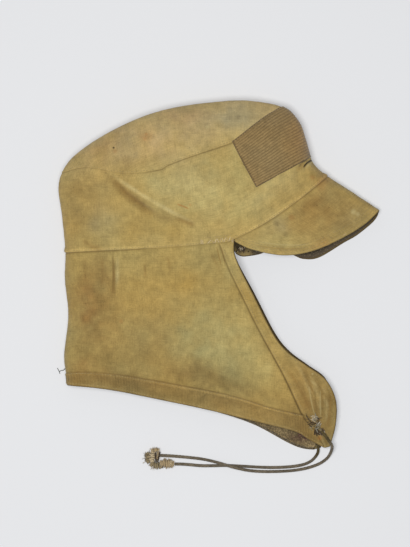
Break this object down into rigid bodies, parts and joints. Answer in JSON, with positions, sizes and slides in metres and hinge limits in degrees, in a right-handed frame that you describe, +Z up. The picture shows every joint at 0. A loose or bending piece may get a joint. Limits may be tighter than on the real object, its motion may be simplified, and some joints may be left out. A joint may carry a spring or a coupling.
{
  "type": "winter field cap with neck flap and chin drawcord",
  "caption": "Folded canvas winter cap with a short soft peak, ribbed front patch, long pile-lined neck flap and chin drawcord, lying on its side.",
  "frame": {"origin": "on the surface under the middle of the cap, without its cords", "axes": "+X towards the tip of the peak, +Y towards the crown, +Z up from the surface"},
  "size_m": [0.3402, 0.3965, 0.0597],
  "materials": {
    "canvas": "matt washed cotton canvas",
    "corduroy": "matt fine corduroy",
    "dark_lining": "matt dark cotton",
    "pile": "matt wool pile",
    "cord": "braided cotton cord",
    "yarn": "matt wound yarn"
  },
  "bodies": {
    "root": {"crown_top": "canvas", "front_patch": "corduroy", "peak_cover": "canvas", "peak_lining": "dark_lining", "hem_band": "canvas", "crown_side_right": "canvas", "crown_side_left": "canvas", "crown_lining_right": "pile", "crown_lining_left": "pile", "neck_flap_right": "canvas", "neck_flap_left": "canvas", "face_facing_right": "canvas", "face_facing_left": "canvas", "flap_lining_right": "pile", "flap_lining_left": "pile", "drawcord_right": "cord", "drawcord_left": "cord", "end_knot_right": "yarn", "end_knot_left": "yarn"}
  },
  "joints": []
}
